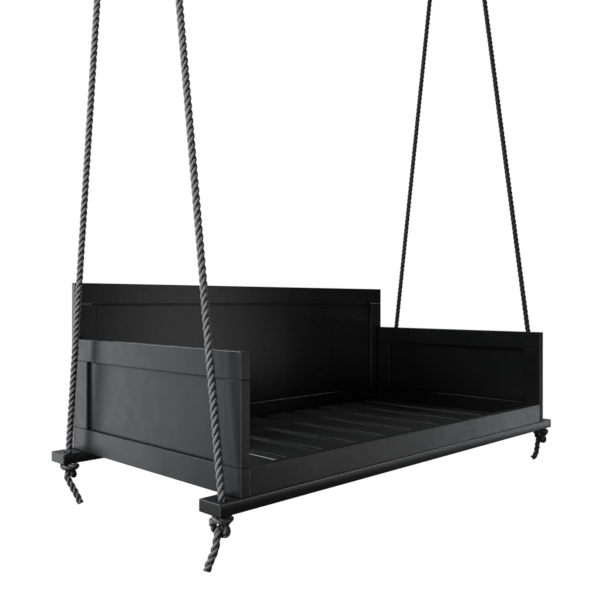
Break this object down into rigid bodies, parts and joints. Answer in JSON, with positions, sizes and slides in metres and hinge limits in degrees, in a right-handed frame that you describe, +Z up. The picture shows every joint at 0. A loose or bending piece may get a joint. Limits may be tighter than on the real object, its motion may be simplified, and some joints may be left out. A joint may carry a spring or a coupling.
{
  "type": "porch swing bed",
  "caption": "Black panelled porch swing bed with a slatted deck, hung at each end by a pair of twisted ropes that meet at a ceiling hanger.",
  "frame": {"origin": "middle of the whole swing's box at its lowest point, the rope tails; the runner tops are 0.220 m above it", "axes": "+Z up along the ropes; +X along the seat to the right as seen from the front; the open front faces -Y and the back is at +Y"},
  "size_m": [2.1821, 1.0754, 4.0175],
  "materials": {
    "black_painted_wood": "satin black paint over smooth timber",
    "black_painted_slats": "satin black paint, slightly duller than the frame",
    "twisted_rope": "charcoal three-strand polypropylene rope, matt with a faint sheen on the crowns",
    "seizing_twine": "black waxed twine, tightly wrapped",
    "zinc_plated_steel": "zinc plate, satin"
  },
  "bodies": {
    "ceiling_hangers": {"hanger_bracket_left": "zinc_plated_steel", "pivot_bolt_left": "zinc_plated_steel", "pivot_nut_left": "zinc_plated_steel", "hanger_bracket_right": "zinc_plated_steel", "pivot_bolt_right": "zinc_plated_steel", "pivot_nut_right": "zinc_plated_steel", "lag_screw_left_front": "zinc_plated_steel", "lag_screw_left_rear": "zinc_plated_steel", "lag_screw_right_front": "zinc_plated_steel", "lag_screw_right_rear": "zinc_plated_steel"},
    "drop_links": {"hanger_link_left": "zinc_plated_steel", "hanger_link_right": "zinc_plated_steel"},
    "ropes_left": {"hanging_ring_left": "zinc_plated_steel", "rope_front_left": "twisted_rope", "rope_rear_left": "twisted_rope", "thimble_front_left": "zinc_plated_steel", "thimble_rear_left": "zinc_plated_steel", "seizing_front_left": "seizing_twine", "seizing_rear_left": "seizing_twine"},
    "ropes_right": {"hanging_ring_right": "zinc_plated_steel", "rope_front_right": "twisted_rope", "rope_rear_right": "twisted_rope", "thimble_front_right": "zinc_plated_steel", "thimble_rear_right": "zinc_plated_steel", "seizing_front_right": "seizing_twine", "seizing_rear_right": "seizing_twine"},
    "seat": {"front_runner": "black_painted_wood", "rear_runner": "black_painted_wood", "left_arm_top_rail": "black_painted_wood", "left_arm_bottom_rail": "black_painted_wood", "left_arm_front_stile": "black_painted_wood", "left_arm_rear_stile": "black_painted_wood", "left_arm_panel": "black_painted_wood", "right_arm_top_rail": "black_painted_wood", "right_arm_bottom_rail": "black_painted_wood", "right_arm_front_stile": "black_painted_wood", "right_arm_rear_stile": "black_painted_wood", "right_arm_panel": "black_painted_wood", "back_top_rail": "black_painted_wood", "back_bottom_rail": "black_painted_wood", "back_left_stile": "black_painted_wood", "back_right_stile": "black_painted_wood", "back_panel": "black_painted_wood", "front_rail": "black_painted_wood", "slat_01": "black_painted_slats", "slat_02": "black_painted_slats", "slat_03": "black_painted_slats", "slat_04": "black_painted_slats", "slat_05": "black_painted_slats", "slat_06": "black_painted_slats", "slat_07": "black_painted_slats", "slat_08": "black_painted_slats", "slat_09": "black_painted_slats", "slat_10": "black_painted_slats", "knot_front_left": "twisted_rope", "knot_rear_left": "twisted_rope", "knot_front_right": "twisted_rope", "knot_rear_right": "twisted_rope"}
  },
  "joints": [
    {"name": "swing", "type": "hinge", "parent": "ceiling_hangers", "child": "drop_links", "pos_m": [0, 0.0185, 3.91698], "axis": [1, 0, 0], "range_deg": [-20, 20]},
    {"name": "sway", "type": "hinge", "parent": "drop_links", "child": "ropes_left", "pos_m": [-1.0445, 0.0185, 3.83898], "axis": [0, 1, 0], "range_deg": [-3, 3]},
    {"name": "sway_right_ropes", "type": "hinge", "parent": "drop_links", "child": "ropes_right", "pos_m": [1.0445, 0.0185, 3.83898], "axis": [0, 1, 0], "range_deg": [-3.3, 3.3]},
    {"name": "seat_level", "type": "hinge", "parent": "ropes_left", "child": "seat", "pos_m": [-1.0445, 0, 0.2], "axis": [0, 1, 0], "range_deg": [-3.3, 3.3]}
  ],
  "couplings": [
    {"joint": "seat_level", "follows": "sway", "ratio": -1},
    {"joint": "sway_right_ropes", "follows": "sway", "ratio": 1}
  ]
}
